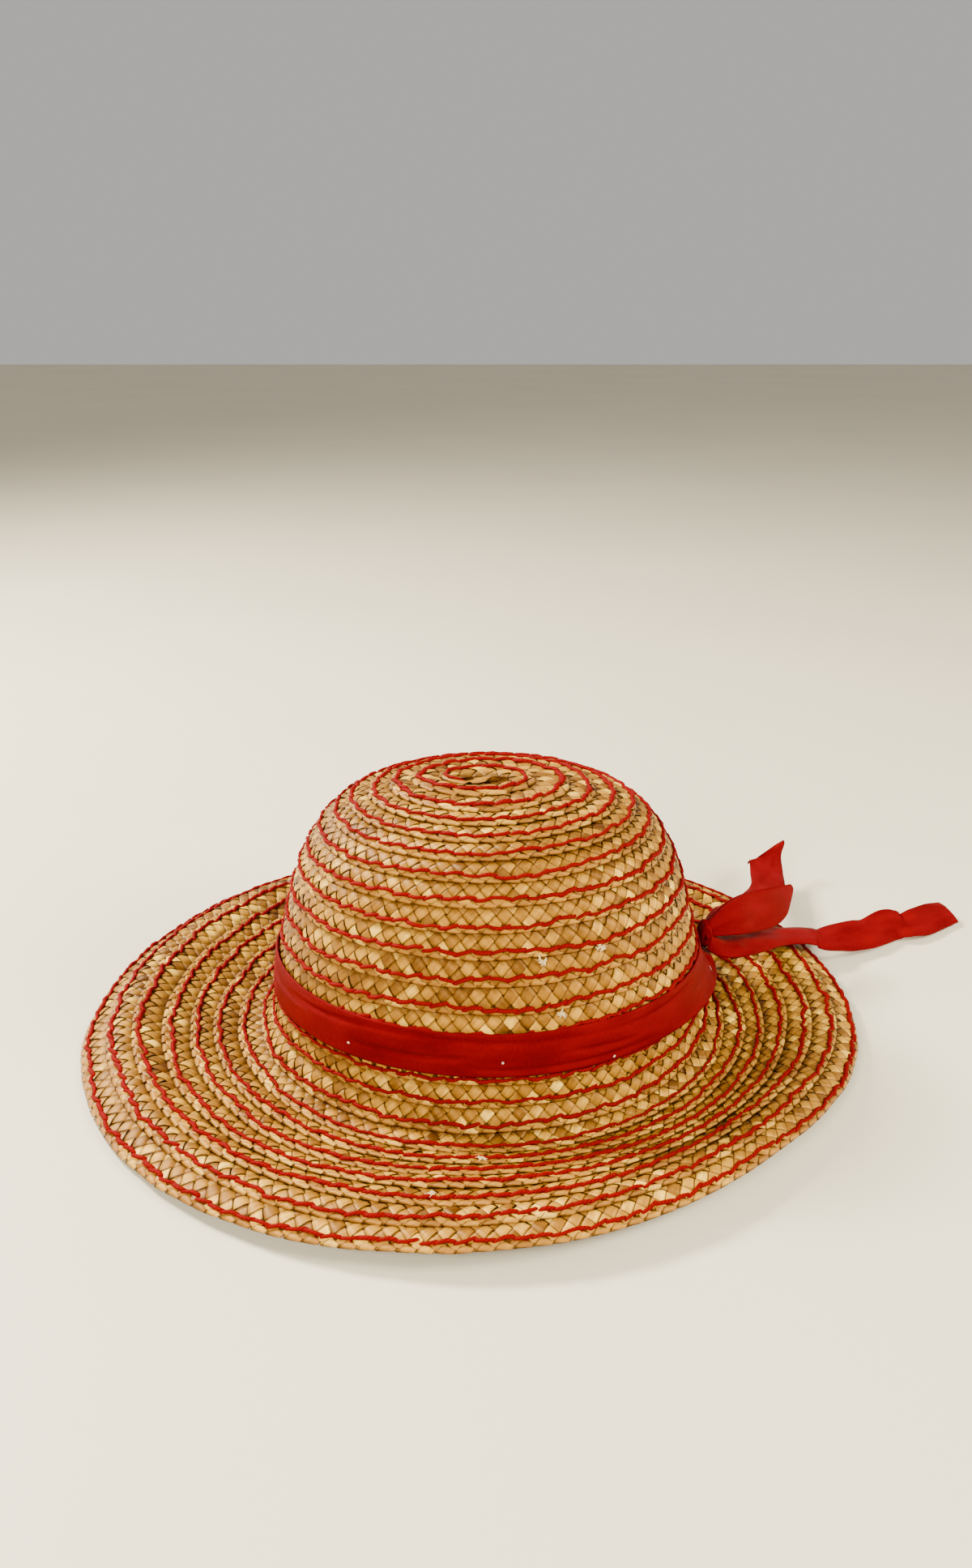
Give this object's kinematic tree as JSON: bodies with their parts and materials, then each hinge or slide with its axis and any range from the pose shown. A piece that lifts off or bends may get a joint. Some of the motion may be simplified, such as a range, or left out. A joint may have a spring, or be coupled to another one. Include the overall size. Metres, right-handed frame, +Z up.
{
  "type": "straw sun hat",
  "caption": "Sun hat of plaited straw braid sewn in one spiral, with a rounded crown, a softly waved brim, and a ribbon band tied with a loop and two ends at the right rear.",
  "frame": {"origin": "under the middle of the hat's whole extent, ribbon ends included, on the surface that the brim rests on", "axes": "+Z up through the tip of the crown, -Y towards the hat's front, +X towards the side where the ribbon is tied"},
  "size_m": [0.4094, 0.3142, 0.1147],
  "materials": {
    "straw": "flat natural straw strands plaited into a braid, golden tan with a soft sheen, sewn with red thread",
    "ribbon": "red ribbed ribbon, matt with a soft sheen along the ribs"
  },
  "bodies": {
    "root": {"crown": "straw", "brim": "straw", "ribbon_band": "ribbon", "ribbon_knot": "ribbon", "ribbon_loop": "ribbon", "ribbon_tail_upper": "ribbon", "ribbon_tail_lower": "ribbon"}
  },
  "joints": []
}
